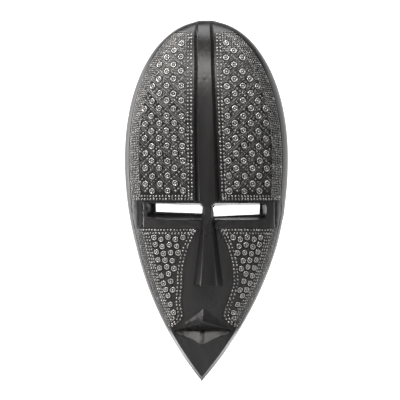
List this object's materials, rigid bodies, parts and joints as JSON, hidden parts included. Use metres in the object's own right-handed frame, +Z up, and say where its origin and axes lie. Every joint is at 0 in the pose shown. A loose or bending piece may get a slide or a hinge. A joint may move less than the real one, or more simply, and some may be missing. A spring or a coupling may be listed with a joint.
{
  "type": "wall mask",
  "caption": "Tall pointed wall mask: carved hollow-backed face with raised centre ridge, slit eyes, wedge nose, embossed sheets and a hinged hanging ring.",
  "frame": {"origin": "the hanging point on the wall plane: on the mask's centre line, where the ring, swung up, bears on a wall nail", "axes": "+Z up as the mask hangs, +Y out of its back towards the wall, the face looks along -Y, +X to the viewer's right"},
  "size_m": [0.218, 0.0866, 0.48],
  "materials": {
    "stained_wood": "satin",
    "embossed_sheet": "satin",
    "tack_metal": "satin",
    "hanger_steel": "satin",
    "ring_steel": "gloss",
    "screw_steel": "satin"
  },
  "bodies": {
    "mask": {"carved_body": "stained_wood", "forehead_plate_left": "embossed_sheet", "forehead_plate_right": "embossed_sheet", "cheek_plate_left": "embossed_sheet", "cheek_plate_right": "embossed_sheet", "forehead_tacks_left": "tack_metal", "forehead_tacks_right": "tack_metal", "cheek_tacks_left": "tack_metal", "cheek_tacks_right": "tack_metal", "hanger_strap": "hanger_steel", "hanger_screw": "screw_steel"},
    "ring": {"hanger_ring": "ring_steel"}
  },
  "joints": [
    {"name": "ring_swing", "type": "hinge", "parent": "mask", "child": "ring", "pos_m": [0, -0.0047, -0.021], "axis": [1, 0, 0], "range_deg": [0, 180]}
  ]
}
